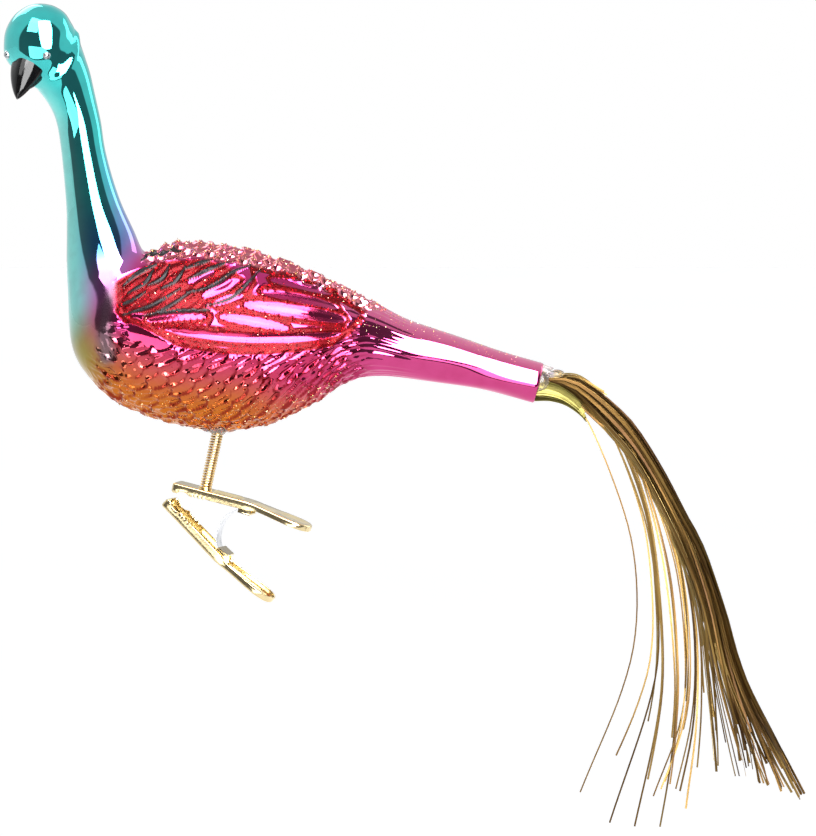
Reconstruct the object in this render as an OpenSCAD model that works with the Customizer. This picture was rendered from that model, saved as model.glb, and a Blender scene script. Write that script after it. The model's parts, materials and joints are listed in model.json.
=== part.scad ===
// Blown-glass bird on a spring-clip: hollow silvered body, foil-strand tail, coil stem, sprung clip.
// Origin: middle of the twig that the clip grips. +Z up, -X the way the body points.

/* [Clip] */
// Diameter of the twig that the two jaw notches close on
twig_d = 5.2; // [4.2:0.1:6.2]
// Straight front length of a jaw, tip to crank
jaw_front = 20; // [18:0.5:24]
// Length of the cranked finger end of a jaw
jaw_rear = 17; // [14:0.5:21]
// Width of a jaw across its side walls
jaw_w = 7; // [6.2:0.1:8.4]
// Diameter of the finger pad
pad_d = 9; // [8.8:0.1:11]
// Height of the jaw side walls, plate included
wall_h = 2.2; // [1.9:0.1:2.6]
// Height of the rim round the finger pad
rim_h = 1.6; // [1.3:0.1:2]
// Thickness of the stamped sheet
sheet = 0.4; // [0.34:0.02:0.5]
// Angle of each jaw to the line between them, at rest
jaw_angle = 16; // [14:1:18]
// Width of the bow spring strip
bow_w = 4.2; // [3.4:0.1:4.4]
// Thickness of the bow spring strip
bow_t = 0.3; // [0.24:0.02:0.36]

/* [Stem] */
// Outer diameter of the close-wound coil
coil_d = 3; // [2.6:0.1:3.6]
// Diameter of the coil wire
wire_d = 0.66; // [0.56:0.02:0.7]
// Number of turns in the coil
coil_turns = 20; // [16:1:25]

/* [Bird] */
// Length of the glass, chest to tail mouth
glass_l = 117; // [98:1:140]
// Greatest width of the glass
glass_w = 37; // [31:1:44]
// Wall thickness of the glass
glass_t = 0.9; // [0.7:0.05:1.1]
// Diameter of the head
head_d = 18.2; // [16.6:0.2:19.6]
// Length of the beak
beak_l = 10; // [8:0.5:12]
// Diameter of an eye bead
eye_d = 2.4; // [2:0.1:2.9]

/* [Tail] */
// Drop of the foil tail from the mouth to its longest strand
tail_drop = 112; // [92:1:134]
// Width of the tail where it leaves the mouth
tail_root_w = 8; // [6.6:0.2:9.6]
// Width of the tail at its tips
tail_tip_w = 18; // [15:1:22]

/* [Hidden] */
$fn = 48;

// Clip placing: the line between the jaws falls by clip_slope, and the finger ends come forward by clip_yaw.
clip_slope = 28.7;
clip_yaw = -17;
notch_x = 3.3;                    // tip to notch, along a jaw
crank = 8;                        // how far the finger end bends inward
tooth_h = 0.3;                    // teeth and tip reach this far past the walls
notch_depth = 0.75;               // how deep the twig notch cuts into the toothed edge
plate_z = twig_d / 2 + wall_h + tooth_h - notch_depth;  // twig middle to the jaw's outer face
tooth_pitch = 1.1;
stem_x = 7.8;                     // tip to stem, along the upper jaw
pin_r = coil_d / 2 - wire_d - 0.06;                     // eyelet shank, inside the coil
pin_fit = 0.05;                   // running clearance of the shank in the plate
flange_h = 0.25;
coil_pitch = wire_d * 1.09;
coil_l = coil_turns * coil_pitch;
glue_gap = 0.85;                  // coil end to the belly
stem_l = flange_h + coil_l + glue_gap;                  // plate to belly
strap_l = 3.4;                    // keeper strap that holds an end of the bow
strap_depth = 3.3;
strap_gap = 0.7;                  // bow to the strap's front edge
strap_w = bow_w + 1.3;

// The bow spring in the clip's own plane: it turns from round to straight at bow_end, under each plate.
bow_leg_angle = 22;               // straight end of the bow to its plate
bow_half = 90 - jaw_angle - bow_leg_angle;
bow_depth = 2.26;                 // below the plate's outer face
bow_seat = 0.45;                  // the bow's tip to the plate's inner face
bow_leg = (bow_depth - sheet - bow_t / 2 - bow_seat) / sin(bow_leg_angle);
bow_end = [jaw_front - 1.4 - notch_x, plate_z - bow_depth];
bow_end_v = bow_end[0] * sin(jaw_angle) + bow_end[1] * cos(jaw_angle);
bow_end_u = bow_end[0] * cos(jaw_angle) - bow_end[1] * sin(jaw_angle);
bow_r = bow_end_v / sin(bow_half);
bow_mid = bow_end_u + bow_r * cos(bow_half);
bow_under = bow_mid * sin(jaw_angle) + plate_z - strap_depth + sheet;
strap_x = notch_x + bow_mid * cos(jaw_angle) - sqrt(bow_r * bow_r - bow_under * bow_under) + strap_gap;

// The glass in side view: front x and z, back x and z, half width. The chin is taken from the head's
// middle, and the rest from the belly point above the stem.
chin_keys = [
    [-8.7, -3.8, 11.2, -3.8, 8.7],
    [-5.5, -8, 12.4, -7.6, 7.7]
];
ring_keys = [
    [-45.1, 84.9, -30.9, 84.4, 6.5],   // throat
    [-40.9, 78.4, -29.3, 76.9, 5.6],
    [-39.1, 69.6, -28, 69.1, 5.4],     // thinnest part of the neck
    [-38.1, 57.1, -24.6, 57.4, 6],
    [-37.8, 48.4, -21.1, 49.4, 7.4],
    [-37.6, 35.9, -18.9, 44.9, 10.6],  // foot of the neck
    [-36.7, 20.9, -16.6, 44.6, 14.6],
    [-30.9, 11.6, -12.6, 46.4, 16.8],
    [-20.9, 4.6, -7.9, 47.1, 18.1],    // shoulders
    [-4.6, 0.3, 0.9, 46.1, 18.5],
    [10.4, 0.6, 10.9, 44, 17.8],       // belly
    [22.6, 6, 22.4, 39.9, 15],
    [31.6, 11.6, 30.4, 35.8, 12],      // rump
    [39.1, 13.1, 39.4, 31.6, 9],
    [47.9, 12.6, 48.9, 26.9, 7.2],     // tail tube
    [64.1, 10.1, 65.9, 21.1, 5.8],
    [78.6, 6.6, 81.1, 16.4, 5]         // mouth
];
mouth_half_w = 5;
glass_k = glass_l / 117;
width_k = (glass_w / 2 - mouth_half_w) / (18.5 - mouth_half_w);
head_k = head_d / 18.2;
head_tall = 1.08;                 // the crown is a little higher than round
head_at = [-44.3 * glass_k, 96.5 * glass_k];
crown_angles = [22, 44, 66, 86];
ring_sides = 20;
keys_between = 2;
face_turn = 62;                   // the face turns this far from straight ahead to the bird's left
beak_dip = 49;                    // and the beak points this far down
eye_turn = 40;                    // each eye sits this far round from the beak
eye_dip = -18;

// The tail's strands in side view, from the mouth middle: x and z of each point on the way down.
mouth = [79.85, 11.5] * glass_k;
tail_k = tail_drop / 112;
plug_d = 9.2 * glass_k;           // glue in the mouth
plug_at = [-0.6, 0, 0.2];
tail_out = (plug_d - 9.2) / 2;    // a larger plug pushes the tail's root out
header_path = [[4.2, -2.3], [7, -3.9], [9.8, -6.7], [12.4, -10.2]];
bundle_path = [[5, 0.9], [9, -0.2], [13, -3], [17.4, -8], [23.1, -15], [28.7, -23.6], [33.7, -33],
               [38.2, -42.5], [43.2, -58.3], [45.3, -69], [48.2, -80], [52.6, -92], [57.6, -103]];
bundle_thick = [1.3, 1.7, 2.2, 2.6, 2.8, 2.8, 2.8, 3.1, 3.3, 3.6, 4.8, 6.6, 7.8];
strand_paths = [
    [[10.6, -3.4], [18.2, -22.5], [23.7, -41], [24.2, -60], [19.7, -77], [8.2, -100.5]],
    [[18.5, -9], [25.2, -29.5], [28.5, -44], [30, -65.5], [27, -82], [17, -110]],
    [[20.5, -11.5], [27.5, -33], [30, -55], [30.5, -73], [28.7, -87.5], [23.5, -111]],
    [[24, -17], [32.2, -44.5], [35, -71], [34.7, -88.5], [33.5, -101], [32, -112]],
    [[27.5, -24], [35.3, -44.5], [37.5, -69], [35.8, -85.5], [28.7, -103.5]],
    [[33.5, -37.5], [39.3, -59], [40, -84], [37.4, -107]]
];
strand_on = [2, 3, 3, 4, 5, 6];                    // the point of bundle_path that each root keeps its place by
strand_side = [-0.3, -0.1, 0.25, 0.1, -0.2, 0.3];  // sideways, as a share of the tail's width
strand_w = 0.9;
strand_t = 0.5;

// ---- curves and skins -------------------------------------------------------

function curve_at(a, b, c, d, t) =
    (2 * b + (c - a) * t + (2 * a - 5 * b + 4 * c - d) * t * t + (3 * b - a - 3 * c + d) * t * t * t) / 2;

function smooth(keys, steps) = [
    for (i = [0:len(keys) - 2])
        for (s = [0:steps - 1])
            curve_at(keys[max(i - 1, 0)], keys[i], keys[i + 1], keys[min(i + 2, len(keys) - 1)], s / steps),
    keys[len(keys) - 1]
];

// A closed skin over rings of equal length, with a point at each end.
module skin(start, rings, end) {
    n = len(rings);
    m = len(rings[0]);
    points = [start, for (r = rings) for (p = r) p, end];
    last = len(points) - 1;
    faces = [
        for (j = [0:m - 1]) [0, 1 + j, 1 + (j + 1) % m],
        for (i = [0:n - 2])
            for (j = [0:m - 1])
                let (a = 1 + i * m + j, b = 1 + i * m + (j + 1) % m)
                    each [[a, a + m, b], [b, a + m, b + m]],
        for (j = [0:m - 1]) [last, 1 + (n - 1) * m + (j + 1) % m, 1 + (n - 1) * m + j]
    ];
    polyhedron(points, faces, convexity = 6);
}

// A tapering strip along a path of 3-D points, wide along the level direction "side".
module swept(path, wide, thick, side, sides) {
    n = len(path);
    rings = [
        for (i = [0:n - 1])
            let (t = path[min(i + 1, n - 1)] - path[max(i - 1, 0)],
                 up = cross(side, t / norm(t)))
                [for (j = [0:sides - 1])
                    let (a = 360 * j / sides)
                        path[i] + side * wide[i] * cos(a) - up * thick[i] * sin(a)]
    ];
    skin(path[0], rings, path[n - 1]);
}

// ---- placing ----------------------------------------------------------------

module in_clip() { rotate([0, clip_slope, clip_yaw]) children(); }

module on_jaw() { rotate([0, -jaw_angle, 0]) translate([-notch_x, 0, plate_z]) children(); }

module on_upper_jaw() { in_clip() on_jaw() children(); }

module on_lower_jaw() { in_clip() mirror([0, 0, 1]) on_jaw() children(); }

// The belly point: the stem's top, turned from the upper jaw into the part's frame.
stem_lean = clip_slope - jaw_angle;
stem_along = stem_x - notch_x;
stem_reach = stem_along * cos(stem_lean) + (plate_z + stem_l) * sin(stem_lean);
belly = [stem_reach * cos(clip_yaw), stem_reach * sin(clip_yaw),
         (plate_z + stem_l) * cos(stem_lean) - stem_along * sin(stem_lean)];

module on_belly() { translate(belly) children(); }

// ---- glass ------------------------------------------------------------------

function crown_key(a) = let (r = head_d / 2, x = head_at[0], z = head_at[1] + r * head_tall * cos(a))
    [x - r * sin(a), z, x + r * sin(a), z, r * sin(a)];

function chin_key(k) = [for (i = [0:4]) k[i] * head_k + (i < 4 ? head_at[i % 2] : 0)];

function body_key(k) = [for (i = [0:4]) i < 4 ? k[i] * glass_k : mouth_half_w + (k[4] - mouth_half_w) * width_k];

glass_keys = smooth([for (a = crown_angles) crown_key(a), for (k = chin_keys) chin_key(k),
                     for (k = ring_keys) body_key(k)], keys_between);

function glass_ring(k, inset) =
    let (mid = [k[0] + k[2], k[1] + k[3]] / 2,
         half = [k[2] - k[0], k[3] - k[1]] / 2,
         shrink = 1 - inset / norm(half))
        [for (j = [0:ring_sides - 1])
            let (a = 360 * j / ring_sides)
                [mid[0] + half[0] * shrink * cos(a),
                 (k[4] - inset) * sin(a),
                 mid[1] + half[1] * shrink * cos(a)]];

module glass_body() {
    n = len(glass_keys);
    crown = [head_at[0], 0, head_at[1] + head_d / 2 * head_tall];
    color("mediumvioletred") on_belly()
        skin(crown,
             [for (i = [0:n - 1]) glass_ring(glass_keys[i], 0),
              for (i = [0:n - 1]) glass_ring(glass_keys[n - 1 - i], glass_t)],
             crown - [0, 0, glass_t]);
}

module on_head(turn, dip) {
    on_belly() translate([head_at[0], 0, head_at[1]])
        rotate([0, 0, 180 + face_turn + turn]) rotate([0, dip, 0]) children();
}

module beak() {
    root = head_d / 2 - 3.2;
    reach = [0, 0.3, 0.55, 0.8, 1];
    hook = [0, 0.1, 0, -0.5, -1.5];
    wide = [3.6, 3.5, 2.9, 1.7, 0.5];
    tall = [3.2, 3.2, 2.6, 1.6, 0.5];
    color("black") on_head(0, beak_dip)
        swept([for (i = [0:4]) [root + reach[i] * (beak_l + 2.6), 0, hook[i]]], wide, tall, [0, 1, 0], 16);
}

module eye(turn) {
    color("silver") on_head(turn, -eye_dip) translate([head_d / 2 - 0.3, 0, 0]) sphere(d = eye_d);
}

module eye_left() { eye(eye_turn); }

module eye_right() { eye(-eye_turn); }

module belly_glue() {
    lump_at = [[-2.6, 0.6, 0.2], [2.9, -0.5, 0.3], [0.6, 2.6, 0.2], [0.4, -2.5, 0.4], [4.6, 0.8, 0.6]];
    color("mistyrose") difference() {
        on_belly() hull() for (p = lump_at) translate(p) sphere(d = 2.4, $fn = 24);
        on_upper_jaw() translate([stem_x, 0, stem_l - glue_gap - 4])
            cylinder(d = coil_d + 0.1, h = 4 + 0.05);
    }
}

// ---- tail -------------------------------------------------------------------

module at_mouth() { on_belly() translate([mouth[0], 0, mouth[1]]) children(); }

function tail_width(z) = tail_root_w + (tail_tip_w - tail_root_w) * min(1, max(0, -z / 100));

module tail_glue() { color("white") at_mouth() translate(plug_at) sphere(d = plug_d); }

module tail_header() {
    path = smooth(header_path, 3);
    color("olive") at_mouth() translate([tail_out, 0, 0])
        swept([for (p = path) [p[0], 0, p[1]]], [for (p = path) tail_root_w / 2 - 0.3], [for (p = path) 0.22], [0, 1, 0], 8);
}

module tail_bundle() {
    path = smooth([for (i = [0:len(bundle_path) - 1])
        [bundle_path[i][0], bundle_path[i][1], bundle_thick[i]]], 2);
    root = bundle_path[0];
    color("darkgoldenrod") at_mouth() translate([tail_out, 0, 0])
        swept([for (p = path) [root[0] + (p[0] - root[0]) * tail_k, 0, root[1] + (p[1] - root[1]) * tail_k]],
              [for (p = path) tail_width(p[1]) / 2], [for (p = path) p[2]], [0, 1, 0], 14);
}

module tail_strand(i) {
    path = smooth(strand_paths[i - 1], 3);
    root = bundle_path[0];
    side = strand_side[i - 1];
    // the bundle keeps its thickness when the tail is longer, so the strand's root keeps its distance from it
    held = (strand_paths[i - 1][0] - bundle_path[strand_on[i - 1]]) * (1 - tail_k);
    color("darkgoldenrod") at_mouth() translate([tail_out + held[0], 0, held[1]])
        swept([for (p = path) [root[0] + (p[0] - root[0]) * tail_k, side * tail_width(p[1]),
                               root[1] + (p[1] - root[1]) * tail_k]],
              [for (p = path) strand_w / 2], [for (p = path) strand_t / 2], [0, 1, 0], 6);
}

// ---- stem -------------------------------------------------------------------

module stem_spring() {
    mean_r = coil_d / 2 - wire_d / 2;
    color("gold") on_upper_jaw() translate([stem_x, 0, flange_h]) rotate_extrude() union() {
        translate([mean_r - 0.12, coil_pitch / 2]) square([0.24, coil_l - coil_pitch]);
        for (i = [0:coil_turns - 1])
            translate([mean_r, coil_pitch * (i + 0.5)]) circle(d = wire_d);
    }
}

module stem_eyelet() {
    color("gold") on_upper_jaw() translate([stem_x, 0, 0]) union() {
        translate([0, 0, -sheet - 0.35]) cylinder(r = pin_r + 0.7, h = 0.35);
        translate([0, 0, -sheet - 0.35]) cylinder(r = pin_r, h = sheet + 0.35 + flange_h + 1.6);
        cylinder(r = coil_d / 2 + 0.25, h = flange_h);
    }
}

// ---- clip -------------------------------------------------------------------

// One side wall of the straight front, with its teeth, drawn from the tip along the jaw.
module front_wall() {
    low = -wall_h - tooth_h;
    first = notch_x + twig_d / 2;
    translate([0, sheet / 2, 0]) rotate([90, 0, 0]) linear_extrude(height = sheet)
        polygon([[0, 0], [jaw_front, 0], [jaw_front, -wall_h], [first + 3 * tooth_pitch, -wall_h],
                 for (i = [2:-1:0]) each [
                     [first + (i + 0.5) * tooth_pitch, low],
                     [first + i * tooth_pitch, low + 0.55]],
                 [first - 0.4, low], [0.4, low], [0, low + 0.5]]);
}

module pad_plan(inset) {
    end = jaw_rear - pad_d / 2;
    union() {
        polygon([[-1, jaw_w / 2 - inset], [-1, inset - jaw_w / 2], [end - 1, inset - pad_d / 2 + 0.1],
                 [end - 1, pad_d / 2 - 0.1 - inset]]);
        translate([end, 0]) circle(d = pad_d - 2 * inset);
    }
}

// The stamping that both jaws share: tip at x = 0, outer face at z = 0, walls downward.
module jaw(stem_hole) {
    difference() {
        union() {
            translate([0, -jaw_w / 2, -sheet]) cube([jaw_front + 0.1, jaw_w, sheet]);
            for (side = [-1, 1]) translate([0, side * (jaw_w - sheet) / 2, 0]) front_wall();
            translate([0, -jaw_w / 2, -wall_h - tooth_h + 0.5]) cube([sheet, jaw_w, wall_h + tooth_h - 0.5]);
            // embossed rib
            intersection() {
                translate([stem_x + coil_d / 2 + 0.7, 0, -1.15]) rotate([0, 90, 0])
                    cylinder(r = 1.6, h = jaw_front - stem_x - coil_d / 2 - 1.9);
                translate([0, -jaw_w / 2, -sheet / 2]) cube([jaw_front, jaw_w, 2]);
            }
            // finger end, cranked inward
            translate([jaw_front, 0, 0]) rotate([0, crank, 0]) difference() {
                translate([0, 0, -rim_h]) linear_extrude(height = rim_h) difference() {
                    pad_plan(0);
                    translate([-2, -jaw_w]) square([2, 2 * jaw_w]);
                }
                translate([0, 0, -rim_h - 1]) linear_extrude(height = rim_h - sheet + 1) pad_plan(sheet);
            }
            // keeper strap for the bow spring
            for (side = [-1, 1])
                translate([strap_x, side * strap_w / 2 - sheet / 2, -strap_depth])
                    cube([strap_l, sheet, strap_depth - sheet / 2]);
            translate([strap_x, -strap_w / 2 - sheet / 2, -strap_depth]) cube([strap_l, strap_w + sheet, sheet]);
        }
        translate([notch_x, 0, -plate_z]) rotate([90, 0, 0]) cylinder(d = twig_d, h = jaw_w + 2, center = true);
        if (stem_hole)
            translate([stem_x, 0, -sheet - 1]) cylinder(r = pin_r + pin_fit, h = sheet + 3);
    }
}

module clip_upper_jaw() { color("gold") on_upper_jaw() jaw(true); }

module clip_lower_jaw() { color("gold") on_lower_jaw() jaw(false); }

module clip_bow_spring() {
    lap = 0.1;
    color("silver") in_clip() translate([bow_mid, 0, 0]) union() {
        rotate([90, 0, 0]) rotate([0, 0, 180 - bow_half]) rotate_extrude(angle = 2 * bow_half)
            translate([bow_r - bow_t / 2, -bow_w / 2]) square([bow_t, bow_w]);
        for (side = [-1, 1])
            rotate([0, side * bow_half, 0])
                translate([-bow_r - bow_t / 2, -bow_w / 2, side > 0 ? -lap : -bow_leg])
                    cube([bow_t, bow_w, bow_leg + lap]);
    }
}

glass_body();
beak();
eye_left();
eye_right();
belly_glue();
tail_glue();
tail_header();
tail_bundle();
tail_strand(1);  // tail_strand_1
tail_strand(2);  // tail_strand_2
tail_strand(3);  // tail_strand_3
tail_strand(4);  // tail_strand_4
tail_strand(5);  // tail_strand_5
tail_strand(6);  // tail_strand_6
stem_spring();
stem_eyelet();
clip_upper_jaw();
clip_lower_jaw();
clip_bow_spring();
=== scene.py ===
"""A silvered-glass bird on a spring clip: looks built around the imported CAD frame."""

import json
import math

import bmesh
import bpy
import numpy as np
from mathutils import Matrix, Vector

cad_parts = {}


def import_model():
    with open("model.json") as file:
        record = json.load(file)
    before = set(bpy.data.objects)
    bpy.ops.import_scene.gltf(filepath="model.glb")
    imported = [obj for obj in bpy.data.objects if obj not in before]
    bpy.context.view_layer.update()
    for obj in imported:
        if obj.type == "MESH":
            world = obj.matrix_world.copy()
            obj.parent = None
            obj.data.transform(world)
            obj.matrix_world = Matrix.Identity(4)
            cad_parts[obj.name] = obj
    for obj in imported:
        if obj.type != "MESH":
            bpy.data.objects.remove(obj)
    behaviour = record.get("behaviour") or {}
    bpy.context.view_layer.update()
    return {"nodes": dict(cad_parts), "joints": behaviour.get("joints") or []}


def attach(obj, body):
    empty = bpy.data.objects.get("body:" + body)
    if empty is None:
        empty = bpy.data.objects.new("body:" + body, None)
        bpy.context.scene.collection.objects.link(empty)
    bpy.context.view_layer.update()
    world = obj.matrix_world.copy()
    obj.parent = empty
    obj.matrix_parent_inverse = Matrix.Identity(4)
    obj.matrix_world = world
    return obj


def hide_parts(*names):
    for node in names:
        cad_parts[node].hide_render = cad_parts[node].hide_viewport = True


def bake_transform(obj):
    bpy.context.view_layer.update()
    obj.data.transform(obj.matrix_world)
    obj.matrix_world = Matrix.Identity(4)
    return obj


MM = 0.001
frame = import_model()
joints = {j["name"]: j for j in frame["joints"]}
rng = np.random.default_rng(7)

# ---- places taken from the frame ----

PLUG = np.array(joints["tail_lift"]["pos_m"])  # middle of the glue in the tail's mouth
BELLY = PLUG - MM * np.array([79.25, 0, 11.7])  # belly point above the stem
MOUTH = BELLY + MM * np.array([79.85, 0, 11.5])
coil_low = np.array(joints["stem_fore_aft"]["pos_m"])  # a third of the way up the coil
coil_high = np.array(joints["stem_side"]["pos_m"])  # two thirds of the way up
COIL_BASE = 2 * coil_low - coil_high
COIL_TOP = 2 * coil_high - coil_low
COIL_MID = (COIL_BASE + COIL_TOP) / 2
STEM_DIR = (COIL_TOP - COIL_BASE) / np.linalg.norm(COIL_TOP - COIL_BASE)
HINGE = np.array(joints["jaw_squeeze"]["pos_m"])
JAW_AXIS = -np.array(joints["jaw_squeeze"]["axis"])  # along the clip's width
CLIP_SLOPE = math.radians(28.7)  # the line between the jaws falls by this much

# ---- mesh helpers ----


def mesh_object(name, verts, faces, smooth=True):
    """A mesh object from vertices in metres and faces of indices."""
    mesh = bpy.data.meshes.new(name)
    mesh.from_pydata([tuple(v) for v in verts], [], [tuple(int(i) for i in f) for f in faces])
    mesh.validate()
    mesh.update()
    mesh.polygons.foreach_set("use_smooth", [smooth] * len(mesh.polygons))
    obj = bpy.data.objects.new(name, mesh)
    bpy.context.scene.collection.objects.link(obj)
    return obj


def attribute(obj, name, values):
    """A number per vertex, for the material's nodes."""
    layer = obj.data.attributes.new(name, "FLOAT", "POINT")
    layer.data.foreach_set("value", np.asarray(values, np.float32).ravel())


def unit(v):
    v = np.asarray(v, float)
    return v / np.maximum(np.linalg.norm(v, axis=-1, keepdims=True), 1e-12)


def smoothstep(low, high, x):
    t = np.clip((x - low) / (high - low), 0, 1)
    return t * t * (3 - 2 * t)


def catmull_rom(keys, beyond, steps):
    """A curve through keys, steps points from each key to the next; beyond leads on from the last key."""
    ext = np.vstack([2 * keys[0] - keys[1], keys, beyond])
    fine = []
    for a, b, c, d in zip(ext, ext[1:], ext[2:], ext[3:]):
        for t in np.linspace(0, 1, steps, endpoint=False):
            fine.append((2 * b + (c - a) * t + (2 * a - 5 * b + 4 * c - d) * t ** 2
                         + (3 * b - a - 3 * c + d) * t ** 3) / 2)
    return np.array(fine + [keys[-1]])


def smooth_path(keys, samples):
    """A curve through keys, sampled evenly along its length."""
    keys = np.asarray(keys, float)
    fine = catmull_rom(keys, 2 * keys[-1] - keys[-2], 24)
    run = np.concatenate([[0], np.cumsum(np.linalg.norm(np.diff(fine[:, :2], axis=0), axis=1))])
    at = np.linspace(0, run[-1], samples)
    return np.stack([np.interp(at, run, fine[:, k]) for k in range(fine.shape[1])], axis=1)


def grid_faces(rows, columns):
    """Quads over a tube of rows x columns vertices, closed across the columns."""
    i, j = np.meshgrid(np.arange(rows - 1), np.arange(columns), indexing="ij")
    k = (j + 1) % columns
    corners = [i * columns + j, (i + 1) * columns + j, (i + 1) * columns + k, i * columns + k]
    return np.stack(corners, -1).reshape(-1, 4)


def capped_faces(rows, columns):
    """Faces of a tube closed by one more vertex at each end, the first end's and then the last end's."""
    first, last, base = rows * columns, rows * columns + 1, (rows - 1) * columns
    faces = [tuple(f) for f in grid_faces(rows, columns)]
    faces += [(first, j, (j + 1) % columns) for j in range(columns)]
    return faces + [(last, base + (j + 1) % columns, base + j) for j in range(columns)]


def flipped(faces):
    return [face[::-1] for face in faces]


def tube(path, sections, side):
    """Vertices and faces of a closed tube: one ring of (across, up) offsets per path point."""
    path = np.asarray(path, float)
    rows, columns = len(path), sections.shape[1]
    along = unit(np.gradient(path, axis=0))
    side = unit(side - (along @ np.asarray(side, float))[:, None] * along)
    up = np.cross(side, along)
    verts = path[:, None] + sections[..., :1] * side[:, None] + sections[..., 1:] * up[:, None]
    verts = np.vstack([verts.reshape(-1, 3), path[:1], path[-1:]])
    return verts, capped_faces(rows, columns)


def baked(obj):
    """Gives the object the smooth-shaded mesh that its modifiers make, and returns that mesh."""
    mesh = bpy.data.meshes.new_from_object(obj.evaluated_get(bpy.context.evaluated_depsgraph_get()))
    obj.modifiers.clear()
    obj.data = mesh
    mesh.polygons.foreach_set("use_smooth", [True] * len(mesh.polygons))
    return mesh


def joined(parts):
    """Several (vertices, faces) as one."""
    verts, faces, base = [], [], 0
    for v, f in parts:
        verts.append(v)
        faces += [tuple(i + base for i in face) for face in f]
        base += len(v)
    return np.vstack(verts), faces


def distance_to(points, path):
    """Distance of 2-D points to a polyline, and how far along it the nearest place is, from 0 to 1."""
    path = np.asarray(path, float)
    best = np.full(len(points), 1e9)
    where = np.zeros(len(points))
    run = np.concatenate([[0], np.cumsum(np.linalg.norm(np.diff(path, axis=0), axis=1))])
    for i in range(len(path) - 1):
        a, d = path[i], path[i + 1] - path[i]
        t = np.clip(((points - a) @ d) / (d @ d), 0, 1)
        dist = np.linalg.norm(points - a - t[:, None] * d, axis=1)
        near = dist < best
        best[near] = dist[near]
        where[near] = ((run[i] + t * (run[i + 1] - run[i])) / run[-1])[near]
    return best, where


# ---- the glass: the CAD's own rings, finer, with the blown relief ----

HEAD_AT = np.array([-44.3, 96.5])
HEAD_R = 9.1
HEAD_TALL = 1.08
CHIN_KEYS = [[-8.7, -3.8, 11.2, -3.8, 8.7], [-5.5, -8, 12.4, -7.6, 7.7]]
RING_KEYS = [
    [-45.1, 84.9, -30.9, 84.4, 6.5],
    [-40.9, 78.4, -29.3, 76.9, 5.6],
    [-39.1, 69.6, -28, 69.1, 5.4],
    [-38.1, 57.1, -24.6, 57.4, 6],
    [-37.8, 48.4, -21.1, 49.4, 7.4],
    [-37.6, 35.9, -18.9, 44.9, 10.6],
    [-36.7, 20.9, -16.6, 44.6, 14.6],
    [-30.9, 11.6, -12.6, 46.4, 16.8],
    [-20.9, 4.6, -7.9, 47.1, 18.1],
    [-4.6, 0.3, 0.9, 46.1, 18.5],
    [10.4, 0.6, 10.9, 44, 17.8],
    [22.6, 6, 22.4, 39.9, 15],
    [31.6, 11.6, 30.4, 35.8, 12],
    [39.1, 13.1, 39.4, 31.6, 9],
    [47.9, 12.6, 48.9, 26.9, 7.2],
    [64.1, 10.1, 65.9, 21.1, 5.8],
    [78.6, 6.6, 81.1, 16.4, 5],
]
RINGS, SIDES = 560, 340

# Feather panels of the wing, in side view from the belly point: both ends, bend, half width.
WING_PANELS = [
    ([-13.0, 26.0], [30.9, 24.6], -1.6, 1.35),
    ([0.5, 29.4], [18.1, 26.2], 0.2, 1.45),
    ([6.5, 32.3], [32.2, 28.0], 0.4, 1.85),
    ([10.8, 35.4], [30.3, 31.0], 0.5, 1.25),
    ([13.1, 38.4], [28.7, 34.6], 0.4, 1.0),
    ([-17.7, 28.2], [-2.5, 29.3], 0.5, 1.2),
    ([-1.1, 32.2], [6.5, 34.6], 0.2, 1.15),
    ([-3.8, 34.1], [5.7, 38.3], 0.3, 1.4),
    ([-7.4, 37.7], [-0.7, 40.5], 0.2, 1.0),
]
WING_LOW = [[-24.4, 30.5], [-22.6, 28.6], [-17.9, 27.0], [-13.6, 24.8], [-9.3, 22.4], [1.6, 20.6], [12, 20.5],
            [20.0, 21.1], [28.2, 22.2], [32.5, 24.9], [35.8, 28.4]]
WING_HIGH = [[36.3, 29.7], [30.9, 33.0], [24.4, 36.2], [14.6, 39.8], [8.5, 41.0]]
WING_FRONT = [[-22.6, 28.6], [-25.2, 32.8], [-24.4, 36.4], [-21.2, 40.2], [-16, 43.2]]
INNER_TRAILS = [
    [[-16, 31.5], [-8, 33.5], [-2, 33.2], [5, 30.8], [9, 31.2]],
    [[-3, 31], [-1.4, 29.2], [-2.3, 27.6]],
    [[8.5, 41], [9.3, 37.6], [7, 33.6]],
    [[32.2, 28], [30.9, 24.6]],
]
STROKES = [
    [[-24.2, 31.9], [-21, 33.4], [-17.9, 35.4]],
    [[-23.4, 29.6], [-16.3, 32.0], [-9.3, 36.2]],
    [[-18.5, 29.4], [-14.1, 30.6], [-6, 35.7]],
    [[-15.2, 29.9], [-9.3, 30.7], [-1.7, 30.8]],
    [[-23.4, 36.8], [-20.1, 39.6], [-15.2, 42.0]],
    [[-22.3, 35.0], [-17.9, 37.7], [-16.0, 40.8]],
    [[-17.4, 36.9], [-13.6, 38.8], [-12.0, 42.0]],
    [[-13.9, 36.2], [-10.2, 38.2], [-8.0, 41.6]],
    [[-8.4, 40.9], [-5, 42.2], [-1.2, 43.1]],
    [[-7.1, 38.7], [-2, 40.9], [3, 42.6]],
    [[-7.6, 35.2], [-1.7, 36.6], [3.8, 40], [8.1, 41.4]],
    [[-2.7, 31.9], [3.8, 34.1], [10.5, 40.3]],
    [[-15.2, 44.4], [-12, 45.2], [-9.3, 45.8]],
    [[-19, 42.6], [-17, 44], [-14.7, 44.6]],
]
SMOKE = [[-25.6, 36], [-27.6, 31], [-28.2, 25], [-27.6, 19]]
SHOULDER = [[-20.5, 25.3], [-14, 23.0]]


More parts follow.
